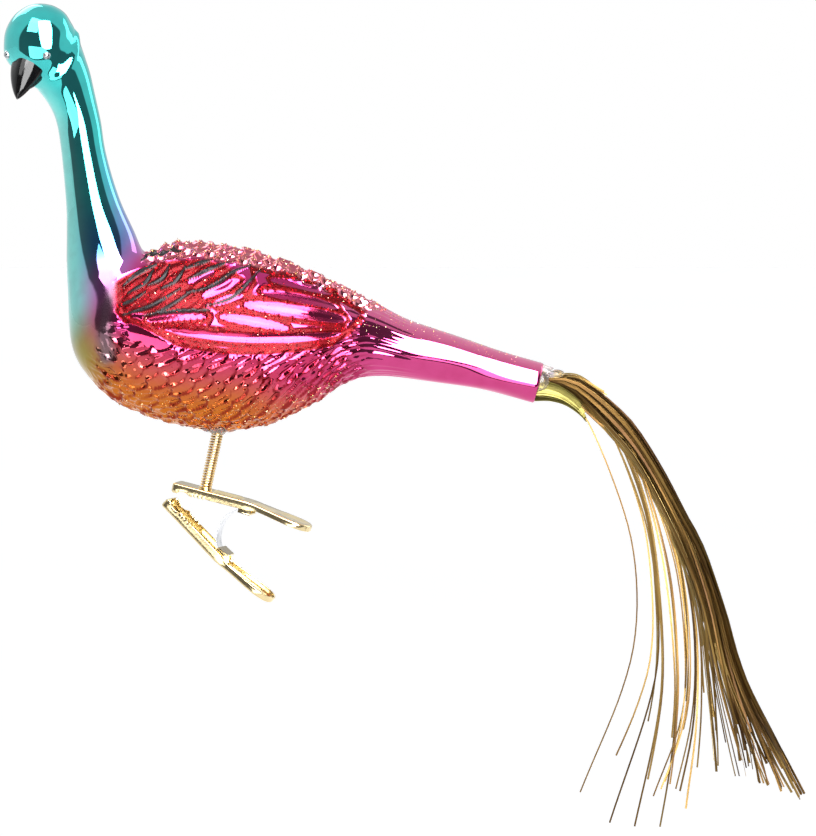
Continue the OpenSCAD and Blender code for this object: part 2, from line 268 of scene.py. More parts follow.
def ring_table():
    """Front, back and half width of every ring, crown to mouth, in mm from the belly point; rings are closest
    together on the feathered body."""
    crown = [[HEAD_AT[0] - HEAD_R * math.sin(a), HEAD_AT[1] + HEAD_R * HEAD_TALL * math.cos(a),
              HEAD_AT[0] + 1.07 * HEAD_R * math.sin(a), HEAD_AT[1] + HEAD_R * HEAD_TALL * math.cos(a),
              HEAD_R * math.sin(a)] for a in map(math.radians, (8, 22, 44, 66, 86))]
    hx, hz = HEAD_AT
    chin = [[a + hx, b + hz, c + hx, d + hz, w] for a, b, c, d, w in CHIN_KEYS]
    keys = np.array(crown + chin + RING_KEYS)
    fine = catmull_rom(keys, keys[-1], 80)
    step = np.maximum(np.linalg.norm(np.diff(fine[:, :2], axis=0), axis=1),
                      np.linalg.norm(np.diff(fine[:, 2:4], axis=0), axis=1))
    run = np.concatenate([[0], np.cumsum(step)])
    share = run / run[-1]
    middle = (share[1:] + share[:-1]) / 2
    crowd = 1 + 2.4 * smoothstep(0.36, 0.42, middle) * smoothstep(0.80, 0.72, middle)
    load = np.concatenate([[0], np.cumsum(step * crowd)])
    at = np.interp(np.linspace(0, load[-1], RINGS), load, run)
    table = np.stack([np.interp(at, run, fine[:, k]) for k in range(5)], axis=1)
    return table, at / run[-1]


def grid_normals(p):
    """Outward normals of a tube of points (rows, columns, 3)."""
    down = np.gradient(p, axis=0)
    round_ = np.roll(p, -1, axis=1) - np.roll(p, 1, axis=1)
    return unit(np.cross(round_, down))


def leaf(points, start, end, bend, half):
    """Depth in a feather panel (1 in the middle, 0 at the edge, below 0 outside), and mm to its edge."""
    a, b = np.array(start), np.array(end)
    length = np.linalg.norm(b - a)
    d = (b - a) / length
    t = (points - a) @ d / length
    side = (points - a) @ np.array([-d[1], d[0]]) - bend * 4 * t * (1 - t)
    share = np.clip(t, 0, 1)
    width = half * np.sqrt(np.clip(4 * share * (1 - share), 0, 1)) ** 0.7
    outside = np.maximum(np.maximum(-t, t - 1), 0) * length
    depth = np.where(outside > 0, -1, 1 - np.abs(side) / np.maximum(width, 0.05))
    return depth, np.abs(np.abs(side) - width) + outside


def hashed(a, b, salt):
    """A fixed pseudo-random number from 0 to 1 for each pair of whole numbers."""
    return np.modf(np.abs(np.sin(a * 12.9898 + b * 78.233 + salt * 37.719) * 43758.5453))[0]


def scales(u, v, pitch, long, salt, dome):
    """Overlapping feather scales over (u, v): height from 0 to 1, rising to the rear edge, or domed."""
    height = np.zeros_like(u)
    row0 = np.floor(u / pitch)
    for row_step in (-2, -1, 0, 1):
        row = row0 + row_step
        shift = 0.5 * np.mod(row, 2)
        col0 = np.floor(v - shift)
        for col_step in (-1, 0, 1):
            col = col0 + col_step
            cu = (row + 0.5 + 0.35 * (hashed(row, col, salt) - 0.5)) * pitch
            cv = col + 0.5 + shift + 0.3 * (hashed(row, col, salt + 1) - 0.5)
            du = (u - cu) / (long * pitch)
            dv = (v - cv) / 0.6
            q = np.clip(du ** 2 + dv ** 2, 0, 1)
            rise = 0.22 + 0.78 * np.clip((du + 1) / 2, 0, None) ** 1.5
            body = (1 - q) ** 0.7 if dome else rise * (1 - q ** 3)
            height = np.maximum(height, np.where(q < 1, body * (0.8 + 0.4 * hashed(row, col, salt + 2)), 0))
    return height


def glass_body():
    table, along = ring_table()
    angle = np.linspace(0, 2 * math.pi, SIDES, endpoint=False)
    front, back, half_w = table[:, :2], table[:, 2:4], table[:, 4]
    mid, half = (front + back) / 2, (back - front) / 2
    p = np.empty((RINGS, SIDES, 3))
    p[..., 0] = mid[:, :1] + half[:, :1] * np.cos(angle)
    p[..., 1] = half_w[:, None] * np.sin(angle)
    p[..., 2] = mid[:, 1:] + half[:, 1:] * np.cos(angle)
    normal = grid_normals(p)
    flat = p.reshape(-1, 3)
    xz = flat[:, [0, 2]]
    facing = np.abs(normal[..., 1]).ravel()
    under = np.repeat((0.5 - 0.5 * np.cos(angle))[None], RINGS, 0).ravel()
    along_all = np.repeat(along[:, None], SIDES, 1).ravel()

    # where each kind of relief lies
    x, z = xz[:, 0], xz[:, 1]
    trunk = smoothstep(-34, -27, x - 0.35 * np.maximum(0, z - 18)) * smoothstep(48, 36, x)
    low_line = np.interp(x, *np.array(WING_LOW).T)
    low_line = np.where(x < -24.4, 30.5 + (x + 24.4) * 0.9, low_line)
    high_line = np.interp(x, [-25, -16, -5, 8.5, 14.6, 24.4, 30.9, 36.3],
                          [38, 42.5, 43.5, 41, 39.8, 36.2, 33, 29.7])
    in_wing = smoothstep(low_line - 0.3, low_line + 0.9, z)
    in_wing = in_wing * smoothstep(high_line + 0.6, high_line - 0.6, z)
    in_wing *= smoothstep(-27, -23.4, x) * smoothstep(37, 35.4, x) * (facing > 0.05)
    below = smoothstep(low_line + 0.2, low_line - 1.6, z) * trunk * smoothstep(41, 30, x)
    above = smoothstep(high_line - 0.3, high_line + 1.0, z)
    above = above * smoothstep(-19.5, -16.5, x) * smoothstep(46, 36, x)
    shoulder, _ = distance_to(xz, SHOULDER)
    below *= smoothstep(1.6, 3.4, shoulder)
    chest = smoothstep(-32.5, -29, x) * smoothstep(-18, -27, x)

    # scales under and behind the wing, longer on the breast
    walk = np.cumsum(np.linalg.norm(np.diff(p, axis=0, prepend=p[:1]), axis=2), axis=0)
    neck_row = np.searchsorted(along, 0.36)
    walk -= walk[neck_row]
    turn_all, walk_all = np.repeat((angle / (2 * math.pi))[None], RINGS, 0).ravel(), walk.ravel()
    body_scale = scales(walk_all, turn_all * 29, 3.4, 1.0, 1, False)
    long_scale = scales(walk_all, turn_all * 42, 6.0, 1.0, 5, False)
    back_scale = scales(walk_all, turn_all * 34, 2.9, 0.62, 9, True)
    feathers = body_scale * (1 - chest) + long_scale * chest
    ragged = 0.25 * np.sin(1.9 * walk_all + 5 * np.sin(9 * turn_all * 6.28)) * np.sin(31 * turn_all * 6.28)
    relief = (1.45 * feathers - 0.75 + ragged) * below + (1.4 * back_scale - 0.45) * above
    # painted shade: a dark red line is laid in the creases where each scale's relief drops
    grid = (1.45 * feathers).reshape(RINGS, SIDES)
    down = np.linalg.norm(np.diff(p, axis=0, append=2 * p[-1:] - p[-2:-1]), axis=2)
    across = np.linalg.norm(np.roll(p, -1, axis=1) - p, axis=2)
    drop = np.hypot((np.roll(grid, -1, axis=0) - grid) / down, (np.roll(grid, -1, axis=1) - grid) / across)
    crease_shade = smoothstep(0.5, 1.0, drop)
    crease_shade = np.maximum.reduce([crease_shade, np.roll(crease_shade, 1, 0), np.roll(crease_shade, 1, 1), np.roll(crease_shade, -1, 1)])
    crease_shade = crease_shade.ravel() * below

    # wing: raised plate, feather panels, trails of glitter between them
    trail = np.zeros(len(flat))
    panel = np.zeros(len(flat))
    for start, end, bend, half_width in WING_PANELS:
        depth, edge = leaf(xz, start, end, bend, half_width)
        panel = np.maximum(panel, np.sqrt(np.clip(depth, 0, 1)))
        trail = np.maximum(trail, smoothstep(1.5, 0.9, edge))
    outer_trails = [(WING_LOW, 1.0), (WING_HIGH, 0.75), (WING_FRONT, 1.9)]
    for path, thick in outer_trails + [(t, 0.7) for t in INNER_TRAILS]:
        near, _ = distance_to(xz, path)
        trail = np.maximum(trail, smoothstep(thick, thick * 0.6, near))
    front_area = smoothstep(10.5, 5.5, x + 0.9 * (z - 36)) * smoothstep(33.2, 34.2, z + 0.05 * x)
    front_area = np.maximum(front_area, smoothstep(-1, -4, x) * smoothstep(29.6, 30.6, z)) * in_wing
    streaks = 0.5 + 0.5 * np.sin(2.6 * (z - 0.62 * x) + 1.3 * np.sin(0.7 * x))
    on_edge = np.minimum(distance_to(xz, WING_LOW)[0], distance_to(xz, WING_HIGH)[0]) < 1.2
    trail = np.maximum(trail * np.maximum(in_wing, 0.85 * on_edge), front_area * (0.72 + 0.28 * streaks))
    trail *= 1 - 0.85 * smoothstep(0.1, 0.45, panel)
    stroke = np.zeros(len(flat))
    for path in STROKES:
        near, where = distance_to(xz, smooth_path(path, 14))
        swell = 0.35 + 0.65 * np.sin(math.pi * np.clip(where, 0.06, 0.94))
        stroke = np.maximum(stroke, smoothstep(0.62, 0.38, near / swell))
    stroke *= facing > 0.05
    panel_relief = 0.25 + 0.5 * np.sqrt(np.clip(panel, 0, 1)) - 0.25 * stroke + 0.18 * front_area * streaks
    relief += in_wing * panel_relief
    relief += 0.22 * trail * (1 - stroke)

    # the face stands out from the neck behind a crisp edge, and faint draw lines run on the tail tube
    from_head = flat - np.array([HEAD_AT[0], 0, HEAD_AT[1]])
    near_face = smoothstep(13, 10.5, np.linalg.norm(from_head, axis=1))
    mirrored = np.stack([from_head[:, 0], np.abs(from_head[:, 1]), from_head[:, 2]], 1)
    mask_side = mirrored @ np.array([-0.60, 0.52, 0.61])
    relief += 0.55 * smoothstep(-4.3, -3.0, mask_side) * near_face * smoothstep(2.5, -1.5, mask_side)
    relief -= 0.3 * np.exp(-((mask_side + 4.5) / 0.7) ** 2) * near_face
    lines = np.sin(turn_all * 2 * math.pi * 23 + 2 * np.sin(0.11 * x)) + np.sin(turn_all * 2 * math.pi * 37)
    relief += 0.06 * lines * smoothstep(30, 35, x) * smoothstep(52, 38, x)
    # slow unevenness of the blown wall
    relief += 0.12 * np.sin(0.21 * walk_all + 2.1 * np.sin(turn_all * 6.28)) * smoothstep(0.1, 0.3, along_all)

    p = p + normal * relief.reshape(RINGS, SIDES, 1)
    crown = np.array([HEAD_AT[0], 0, HEAD_AT[1] + HEAD_R * HEAD_TALL])

    # the mouth's rim turns in, and the wall goes back to where the glue closes it
    mouth_mid = p[-1].mean(axis=0)
    inward = mouth_mid - p[-1]
    axis = unit(mouth_mid - p[-12].mean(axis=0))
    rims = [p[-1] + inward * f + axis * d for f, d in
            ((0.05, 0.25), (0.12, 0.3), (0.19, 0.1), (0.2, -1.5), (0.2, -5))]
    rows = np.concatenate([p] + [r[None] for r in rims])
    verts = np.vstack([rows.reshape(-1, 3), crown[None], (mouth_mid - axis * 5)[None]])
    obj = mesh_object("glass_bird", verts * MM + BELLY, flipped(capped_faces(len(rows), SIDES)))

    def padded(values, fill=0.0):
        extra = np.repeat(np.asarray(values).reshape(RINGS, SIDES)[-1][None], len(rims), 0)
        return np.concatenate([np.asarray(values).ravel(), extra.ravel(), [fill, fill]])

    smoke, _ = distance_to(xz, SMOKE)
    gold = np.maximum(above, smoothstep(0.78, 0.93, under) * smoothstep(-31, -22, x) * smoothstep(34, 26, x))
    gold = np.maximum(
        gold, 0.8 * smoothstep(0.55, 0.3, under) * smoothstep(33, 40, x) * smoothstep(84, 60, x))
    attribute(obj, "along", padded(along_all))
    attribute(obj, "under", padded(under, 0.5))
    attribute(obj, "low", padded(smoothstep(14, 2, z) * smoothstep(-36, -30, x) * smoothstep(36, 24, x)))
    attribute(obj, "trail", padded(trail))
    attribute(obj, "stroke", padded(stroke))
    # the rim attribute carries the painted shade of the scale creases
    attribute(obj, "rim", padded(crease_shade))
    attribute(obj, "smoke", padded(smoothstep(3.4, 0.4, smoke) * (facing > 0.1)))
    attribute(obj, "dust", padded(above))
    masks = {"trail": trail * (1 - 0.9 * stroke), "gold": gold}
    return obj, p.reshape(-1, 3) * MM + BELLY, grid_normals(p).reshape(-1, 3), masks


def grains(name, points, normals, weights, count, size, lift):
    """Glitter: three-sided grains scattered over a surface by weight, each a closed solid."""
    edge_a, edge_b = (points - np.roll(points, n, 0) for n in (1, SIDES))
    area = np.linalg.norm(np.cross(edge_a, edge_b), axis=1)
    chance = weights * np.minimum(area, np.percentile(area, 99))
    pick = rng.choice(len(points), size=count, p=chance / chance.sum())
    jitter = rng.normal(0, 0.2 * MM, (count, 3))
    n = unit(normals[pick] + rng.normal(0, 0.85, (count, 3)))
    a = unit(np.cross(n, rng.normal(0, 1, (count, 3))))
    b = np.cross(n, a)
    r = size * MM * rng.uniform(0.6, 1.15, (count, 1))
    jitter -= (jitter * normals[pick]).sum(1, keepdims=True) * normals[pick]
    mid = points[pick] + jitter + normals[pick] * (lift * MM * rng.uniform(0.2, 1.0, (count, 1)))
    around = [mid + r * (math.cos(t) * a + math.sin(t) * b) for t in (0, 2.1, 4.2)]
    corners = np.stack(around + [mid + n * r * 0.35, mid - n * r * 0.35], 1)
    faces = [(5 * k + i, 5 * k + (i + 1) % 3, 5 * k + 3) for k in range(count) for i in range(3)]
    faces += [(5 * k + (i + 1) % 3, 5 * k + i, 5 * k + 4) for k in range(count) for i in range(3)]
    obj = mesh_object(name, corners.reshape(-1, 3), faces, smooth=False)
    attribute(obj, "tone", np.repeat(rng.uniform(0, 1, count), 5))
    return obj


# ---- head ----

FACE = math.radians(180 + 62)  # the beak's bearing
BEAK_DIP, EYE_DIP, EYE_TURN = 49, 18, 40


def on_head(turn, dip, points):
    """Points given along, across and above a line from the head's middle, in mm, into the frame."""
    yaw, tilt = FACE + math.radians(turn), math.radians(dip)
    ahead = np.array([math.cos(yaw) * math.cos(tilt), math.sin(yaw) * math.cos(tilt), -math.sin(tilt)])
    across = np.array([-math.sin(yaw), math.cos(yaw), 0])
    above = np.cross(ahead, across)
    points = np.asarray(points, float)
    middle = BELLY + MM * np.array([HEAD_AT[0], 0, HEAD_AT[1]])
    return middle + MM * (points[..., :1] * ahead + points[..., 1:2] * across + points[..., 2:] * above)


def beak():
    """A short drop: a broad root, the upper part hooking over a shorter lower part."""
    rows, columns = 34, 40
    t = np.linspace(0, 1, rows)
    reach = 5.6 + 12.0 * t
    blunt_tip = 0.6 * (1 - t ** 12)
    wide = 4.3 * (1 - t ** 2.0) ** 1.15 + blunt_tip
    upper = 3.2 * (1 - t ** 2.0) ** 0.95 + blunt_tip
    lower = np.maximum(4.3 * np.sqrt(np.clip(1 - (t / 0.72) ** 2, 0, 1)), 1.5 * (1 - t ** 2) + blunt_tip)
    angle = np.linspace(0, 2 * math.pi, columns, endpoint=False)
    verts = []
    for i in range(rows):
        ridge = 0.07 * np.exp(-(((angle - math.pi / 2) / 0.38) ** 2)) * (1 - t[i] ** 3)
        split = 0.13 * sum(np.exp(-(((angle - at + 2 * math.pi * k) / 0.16) ** 2))
                           for at, k in ((-0.25, 0), (-0.25, -1), (math.pi + 0.25, 0)))
        flute = 0.016 * np.cos(7 * angle + 1.5 * t[i]) * (1 - t[i] ** 2)
        r = 1 + ridge + flute - split * smoothstep(0.15, 0.35, t[i])
        tall = np.where(np.sin(angle) > 0, upper[i], lower[i])
        side = wide[i] * np.cos(angle) * r * (1 - 0.15 * np.sin(angle))
        up = -0.9 * t[i] ** 3 + tall * np.sin(angle) * r
        verts.append(np.stack([np.full(columns, reach[i]), side, up], 1))
    points = np.vstack(verts + [[[reach[0], 0, 0]], [[reach[-1] + 0.1, 0, -0.9]]])
    place = on_head(0, BEAK_DIP, points) + MM * np.array([-0.45, 0, 0.1])
    return mesh_object("beak_glass", place, flipped(capped_faces(rows, columns)))


def eye(name, turn):
    """A domed bead in a low collar, turned about its own axis."""
    profile = [(0, 1.55), (0.35, 1.5), (0.7, 1.32), (0.95, 1.05), (1.08, 0.75), (1.1, 0.5), (1.22, 0.42),
               (1.4, 0.3), (1.5, 0.05), (1.4, -0.4), (0.8, -0.8), (0, -0.9)]
    columns = 28
    angle = np.linspace(0, 2 * math.pi, columns, endpoint=False)
    seat = HEAD_R - 0.55
    rings = [np.stack([np.full(columns, seat + h), r * np.cos(angle), r * np.sin(angle)], 1)
             for r, h in profile[1:-1]]
    points = np.vstack(rings + [[[seat + profile[0][1], 0, 0]], [[seat + profile[-1][1], 0, 0]]])
    return mesh_object(name, on_head(turn, EYE_DIP, points), capped_faces(len(rings), columns))


# ---- glue ----


def lumps(name, balls, voxel):
    """Set glue: balls (x, y, z, rx, ry, rz in mm, from a middle) melted into one smooth lump."""
    parts = []
    for x, y, z, rx, ry, rz in balls:
        bpy.ops.mesh.primitive_uv_sphere_add(segments=20, ring_count=12, radius=1)
        ball = bpy.context.object
        ball.scale = (rx * MM, ry * MM, rz * MM)
        ball.location = Vector((x, y, z)) * MM
        parts.append(ball)
    with bpy.context.temp_override(active_object=parts[0], selected_editable_objects=parts):
        bpy.ops.object.join()
    obj = parts[0]
    obj.name = name
    bpy.context.view_layer.update()
    obj.data.transform(obj.matrix_world)
    obj.matrix_world.identity()
    remesh = obj.modifiers.new("melt", "REMESH")
    remesh.mode, remesh.voxel_size = "VOXEL", voxel * MM
    soften = obj.modifiers.new("soften", "SMOOTH")
    soften.factor, soften.iterations = 0.6, 7
    baked(obj)
    return obj


# ---- stem and clip ----


def coil(name, first, last, turns=21, wire=0.26, mean=1.27):
    """Part of the close-wound wire, between two shares of the coil's length."""
    span = COIL_TOP - COIL_BASE
    x_axis = unit(np.cross(STEM_DIR, [0, 1, 0]))
    y_axis = np.cross(STEM_DIR, x_axis)
    steps = int(abs(last - first) * turns * 26)
    t = np.linspace(first, last, steps)
    a = 2 * math.pi * turns * t
    middle = COIL_BASE + t[:, None] * span
    path = middle + mean * MM * (np.cos(a)[:, None] * x_axis + np.sin(a)[:, None] * y_axis)
    ring = np.linspace(0, 2 * math.pi, 10, endpoint=False)
    out = unit(path - middle)
    verts = path[:, None] + wire * MM * (np.cos(ring)[None, :, None] * out[:, None]
                                         + np.sin(ring)[None, :, None] * STEM_DIR)
    verts = np.vstack([verts.reshape(-1, 3), path[:1], path[-1:]])
    return mesh_object(name, verts, capped_faces(len(path), len(ring)))


def bow_spring():
    """The flat strip between the jaws: a round part and two straight ends."""
    ahead = unit(np.cross(JAW_AXIS, [0, 0, 1]))  # level, tip to finger ends
    u = ahead * math.cos(CLIP_SLOPE) - np.array([0, 0, math.sin(CLIP_SLOPE)])
    v = np.cross(u, JAW_AXIS)
    if v[2] < 0:
        v = -v
    radius, half, leg = 7.901, math.radians(52), 3.36
    mid = HINGE + u * radius * MM
    angles = np.linspace(-half, half, 33)
    points = [mid - u * radius * MM * math.cos(a) + v * radius * MM * math.sin(a) for a in angles]
    for end, sign in ((0, -1), (-1, 1)):
        away = (u * math.sin(half) + sign * v * math.cos(half)) * leg * MM
        extra = [points[end] + away * f for f in (0.33, 0.66, 1.0)]
        points = extra[::-1] + points if sign < 0 else points + extra
    half_w, half_t = 2.1, 0.11
    section = MM * np.array([[half_w, half_t], [-half_w, half_t], [-half_w, -half_t], [half_w, -half_t]])
    verts, faces = tube(points, np.repeat(section[None], len(points), 0), JAW_AXIS)
    obj = mesh_object("bow_strip", verts, faces, smooth=False)
    return obj, points[-1], points[0]


NOTCH_X, PLATE_Z, TWIG_R, SHEET = 3.3, 4.35, 2.6, 0.4
JAW_FRONT, CRANK, JAW_ANGLE = 20.0, math.radians(8), math.radians(16)


def wall_depth(x):
    """How far the wall of a jaw comes down at x: notch for the twig, three teeth, and the pad's low rim."""
    teeth = [(7.0 + 1.1 * i + d, z) for i in range(3) for d, z in ((-0.55, 2.5), (0.0, 1.95))]
    keys = [(0, 1.95), (0.5, 2.45), (5.8, 2.45), (5.95, 1.95)] + teeth
    keys += [(9.75, 2.2), (20.4, 2.2), (23, 1.5), (40, 1.6)]
    depth = np.interp(x, *zip(*keys))
    arc = PLATE_Z - np.sqrt(np.clip(TWIG_R ** 2 - (x - NOTCH_X) ** 2, 0, None))
    return np.minimum(depth, arc)


def jaw(name, sign):
    """A stamped channel: rounded tip, toothed walls, embossed rib and a rimmed oval finger pad."""
    half = smooth_path([[0, 0], [0, 2.3], [0.15, 3.1], [0.9, 3.5], [4, 3.5], [12, 3.5], [19, 3.5],
                        [22.5, 3.35], [26.5, 3.75], [30.5, 4.4], [33.6, 4.35], [35.9, 3.1], [36.9, 1.2],
                        [37, 0]], 230)
    outline = np.vstack([half, (half * [1, -1])[-2:0:-1]])
    spine = np.stack([np.clip(outline[:, 0], 2.6, 33.2), np.zeros(len(outline))], 1)
    inward = unit(spine - outline)
    depth = wall_depth(outline[:, 0])

    def top(points):
        x, y = points[:, 0], points[:, 1]
        rib = smoothstep(1.5, 0.7, np.abs(y)) * smoothstep(9.8, 10.8, x) * smoothstep(18.6, 17.2, x)
        pad = smoothstep(1.0, 0.55, np.hypot((x - 32) / 4.4, y / 3.6))
        waist = smoothstep(2.3, 1.2, np.abs(y)) * smoothstep(20.5, 22, x) * smoothstep(28, 25, x)
        return 0.42 * rib - 0.32 * pad + 0.18 * waist

    def level(z):
        return np.full(len(outline), z)

    lip, burr = 0.5, 0.08  # outer edge's radius, and the wall's
    rings = []
    for share in (1.0, 0.8, 0.6, 0.45, 0.3):  # plate, from the spine out
        flat = outline + (spine - outline) * share
        rings.append((flat, top(flat)))
    for a in map(math.radians, (90, 60, 30, 0)):  # rounded outer edge
        rings.append((outline + inward * lip * (1 - math.cos(a)), level(-lip * (1 - math.sin(a)))))
    for f in (0.5, 0.95):  # outer side of the wall
        rings.append((outline, -lip - (depth - lip) * f))
    for inset in (burr, SHEET - burr):  # its lower edge
        rings.append((outline + inward * inset, -depth))
    for f in (0.95, 0.5, 0.0):  # inner side
        rings.append((outline + inward * SHEET, -0.62 - (depth - 0.62) * f))
    rings.append((outline + inward * (SHEET + 0.22), level(-SHEET)))
    for share in (0.3, 0.45, 0.6, 0.8, 1.0):  # under the plate, back to the spine
        flat = outline + (spine - outline) * share
        rings.append((flat, top(flat) - SHEET))
    rows = np.array([np.column_stack([flat, z]) for flat, z in rings])
    parts = [(rows.reshape(-1, 3), [tuple(f) for f in grid_faces(len(rows), len(outline))])]
    box_faces = [(0, 1, 3, 2), (4, 6, 7, 5), (0, 4, 5, 1), (2, 3, 7, 6), (0, 2, 6, 4), (1, 5, 7, 3)]
    strap_x, strap_l, strap_z, side = 18.05, 3.4, 3.3, 2.75  # the strap that holds the bow strip
    for across, up in (((-side, -side + SHEET), (-strap_z, -0.3)), ((side - SHEET, side), (-strap_z, -0.3)),
                       ((-side, side), (-strap_z, -strap_z + SHEET))):
        corners = np.array([[x, y, z] for x in (strap_x, strap_x + strap_l) for y in across for z in up])
        parts.append((corners, box_faces))
    points, faces = joined(parts)
    bend_x = np.linspace(0, 40, 400)
    bend = CRANK * smoothstep(JAW_FRONT - 2.5, JAW_FRONT + 2.5, bend_x)
    centre_x = np.concatenate([[0], np.cumsum(np.cos(bend[:-1]) * np.diff(bend_x))])
    centre_z = -np.concatenate([[0], np.cumsum(np.sin(bend[:-1]) * np.diff(bend_x))])
    tilt = np.interp(points[:, 0], bend_x, bend)
    x = np.interp(points[:, 0], bend_x, centre_x) + points[:, 2] * np.sin(tilt)
    z = np.interp(points[:, 0], bend_x, centre_z) + points[:, 2] * np.cos(tilt)
    ahead = unit(HINGE)
    upward = np.cross(ahead, JAW_AXIS) * sign
    along = ahead * math.cos(JAW_ANGLE) + upward * math.sin(JAW_ANGLE)
    outward = upward * math.cos(JAW_ANGLE) - ahead * math.sin(JAW_ANGLE)
    placed = MM * ((x - NOTCH_X)[:, None] * along + points[:, 1:2] * JAW_AXIS
                   + (z + PLATE_Z)[:, None] * outward)
    obj = mesh_object(name, placed, faces)
    weld = obj.modifiers.new("weld", "WELD")
    weld.merge_threshold = 0.00002
    edges = obj.modifiers.new("edges", "BEVEL")
    edges.width, edges.segments = 0.09 * MM, 2
    edges.limit_method, edges.angle_limit = "ANGLE", math.radians(50)
    mesh = baked(obj)
    made = bmesh.new()
    made.from_mesh(mesh)
    bmesh.ops.recalc_face_normals(made, faces=made.faces)
    made.to_mesh(mesh)
    made.free()
    mesh.set_sharp_from_angle(angle=math.radians(40))
    return obj


# ---- tail ----

# Side-view edges of the fan of strands, from the mouth's middle: outer, inner, then the strays inward.
FAN_PATHS = [
    [[-0.8, 0.7], [3.4, 1.4], [9.3, 1.2], [15.8, -2.6], [22, -8.1], [25.8, -12.9], [31.3, -22.1],
     [36.5, -32.1], [41.3, -41.6], [46.5, -57.6], [49.3, -68.1], [53.5, -79.1], [61, -93.6],
     [66.2, -103.6]],
    [[-0.8, 0.0], [2, 0.1], [8, -2.6], [12.8, -7.6], [17.3, -12.8], [22.7, -18.8], [27.5, -26.5],
     [32.5, -36.9], [37.8, -50], [40.5, -60.4], [42.5, -75.4], [45.5, -96.6]],
    [[-0.8, 0], [6, -1.6], [20, -14], [33.5, -37.5], [39.3, -59], [40, -84], [37.4, -107]],
    [[-0.8, 0], [6, -2], [18, -13], [27.5, -24], [35.3, -44.5], [37.5, -69], [35.8, -85.5],
     [28.7, -103.5]],
    [[-0.8, 0], [6, -2.2], [16, -10.5], [24, -17], [32.2, -44.5], [35, -71], [34.7, -88.5], [33.5, -101],
     [32, -112]],
    [[-0.8, 0], [6, -2.4], [14, -8], [20.5, -13.5], [27.5, -33], [30, -55], [30.5, -73], [28.7, -87.5],
     [23.5, -111]],
    [[-0.8, 0], [5, -2.5], [12, -6], [18.5, -13], [25.2, -29.5], [28.5, -44], [30, -65.5], [27, -82],
     [17, -110]],
    [[-0.8, 0], [4, -2.6], [10.6, -6.4], [18.2, -22.5], [23.7, -41], [24.2, -60], [19.7, -77],
     [8.2, -100.5]],
]
ROOT_HALF_W, TIP_HALF_W = 2.2, 9.0


def ribbon(path, width, thick, twist):
    """A flat foil strand; its broad side turns slowly along it, and faces sideways at a quarter turn."""
    path = np.asarray(path) * MM + MOUTH
    turn = np.linspace(twist[0], twist[1], len(path))
    corners = np.array([[1, 1], [-1, 1], [-1, -1], [1, -1]]) * MM * np.array([width / 2, thick / 2])
    c, s = np.cos(turn), np.sin(turn)
    section = np.stack([corners[None, :, 0] * c[:, None] - corners[None, :, 1] * s[:, None],
                        corners[None, :, 0] * s[:, None] + corners[None, :, 1] * c[:, None]], -1)
    return tube(path, section, np.array([0, 1.0, 0]))


def tail_strands(bundle=130, points=34):
    """Strands fanned between the edges, each with its own way across, its own end and a slow wave."""
    edges = np.array([smooth_path(path, points) for path in FAN_PATHS])
    run = np.linspace(0, 1, points)
    half_w = ROOT_HALF_W + (TIP_HALF_W - ROOT_HALF_W) * run ** 1.2
    parts, tones = [], []

    def strand(place, drift, across, end, width, tone, twist):
        where = np.clip(place + drift * run ** 2, 0, len(edges) - 1.001)
        low = where.astype(int)
        blend = (where - low)[:, None]
        rows = np.arange(points)
        flat = edges[low, rows] * (1 - blend) + edges[low + 1, rows] * blend
        wave = rng.uniform(0, 1.0) * np.sin(run * rng.uniform(4, 9) + rng.uniform(0, 6.28)) * run
        path = np.stack([flat[:, 0] + wave, across * half_w + 0.5 * wave, flat[:, 1] + 0.4 * wave], 1)
        keep = max(8, int(points * end))
        parts.append(ribbon(path[:keep], width, 0.07, twist))
        shade = tone + 0.16 * np.sin(run[:keep] * rng.uniform(6, 20) + rng.uniform(0, 6.28))
        ends = [shade[0], shade[-1]]
        tones.append(np.concatenate([np.repeat(shade, 4), ends]))

    for _ in range(bundle):
        place = rng.beta(1.0, 1.7)
        across = rng.uniform(-1, 1) * math.sqrt(max(0.05, 1 - (2 * place - 1) ** 2))
        strand(place, rng.normal(0, 0.26), across, min(1.0, rng.beta(9, 1.2) * 1.03), rng.uniform(0.28, 0.8),
               rng.uniform(0, 0.85) * (0.35 + 0.65 * place), rng.normal(0.9, 0.6, 2))
    strays = [np.arange(2.0, 7.01, 1.0), rng.uniform(1.05, 3.4, 9), rng.uniform(3.2, 6.0, 5)]
    for place in np.concatenate(strays):
        strand(place, rng.normal(0, 0.12), rng.uniform(-0.5, 0.5),
               1.0 if place % 1 == 0 else rng.uniform(0.75, 1),
               rng.uniform(0.36, 0.5), rng.uniform(0.2, 0.6), rng.normal(1.5, 0.3, 2))
    for _ in range(12):
        rise = rng.uniform(0.3, 2.4)
        keys = [[-0.4, 0.6], [5, 1.1 + rise * 0.5], [10, 0.8 + rise * 0.6],
                [15 + rng.uniform(-2, 3), -3.4 + rise]]
        flat = smooth_path(keys, 14)
        side = rng.uniform(-1.6, 1.6)
        path = np.stack([flat[:, 0], np.linspace(side * 0.6, side, 14), flat[:, 1]], 1)
        parts.append(ribbon(path, 0.35, 0.07, rng.normal(1.2, 0.5, 2)))
        tones.append(np.full(len(parts[-1][0]), rng.uniform(0.4, 1)))
    verts, faces = joined(parts)
    obj = mesh_object("foil_strands", verts, faces, smooth=False)
    attribute(obj, "tone", np.concatenate(tones))
    return obj


